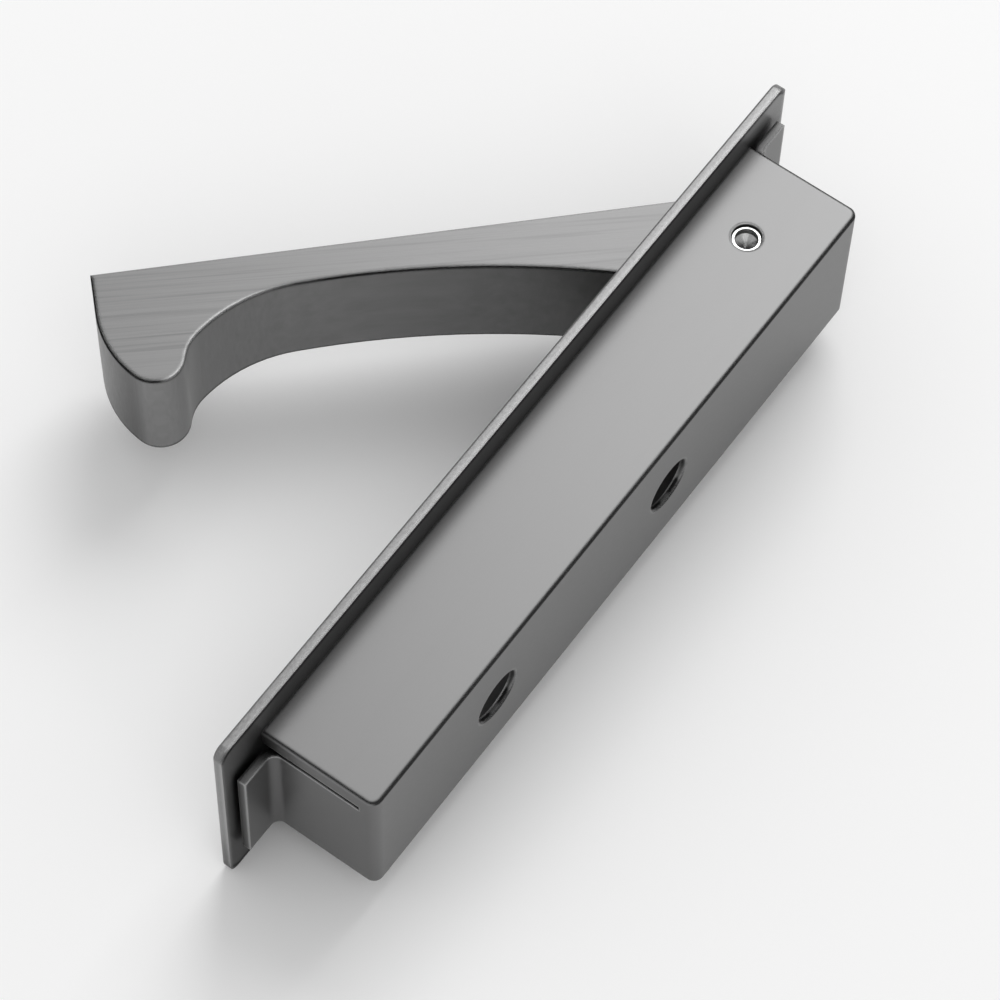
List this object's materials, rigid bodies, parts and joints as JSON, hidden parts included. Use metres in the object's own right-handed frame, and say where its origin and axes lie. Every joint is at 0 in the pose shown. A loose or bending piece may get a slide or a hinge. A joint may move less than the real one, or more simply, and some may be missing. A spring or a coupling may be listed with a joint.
{
  "type": "concealed cabinet pull",
  "caption": "Recessed pull for a cabinet front, with a hook-shaped lever that swings out of a slotted faceplate on a pin in a narrow housing.",
  "frame": {"origin": "centre of the faceplate's rear face, in the middle of the mouth of the cut-out that takes the housing", "axes": "+X along the faceplate from the pivot end to the finger end, +Y into the cabinet front, away from the hand, +Z across the faceplate along the pivot pin"},
  "size_m": [0.103, 0.0646, 0.029],
  "materials": {
    "plate_metal": "brushed",
    "housing_metal": "satin",
    "lever_metal": "brushed along its length",
    "pin_metal": "turned",
    "bush_plastic": "matte",
    "spring_metal": "rolled strip"
  },
  "bodies": {
    "case": {"faceplate": "plate_metal", "housing": "housing_metal", "pivot_pin": "pin_metal", "detent_spring": "spring_metal"},
    "swing": {"lever": "lever_metal", "upper_bush": "bush_plastic", "lower_bush": "bush_plastic"}
  },
  "joints": [
    {"name": "lever_swing", "type": "hinge", "parent": "case", "child": "swing", "pos_m": [-0.0348, 0.00645, 0], "axis": [0, 0, 1], "range_deg": [0, 45]}
  ]
}
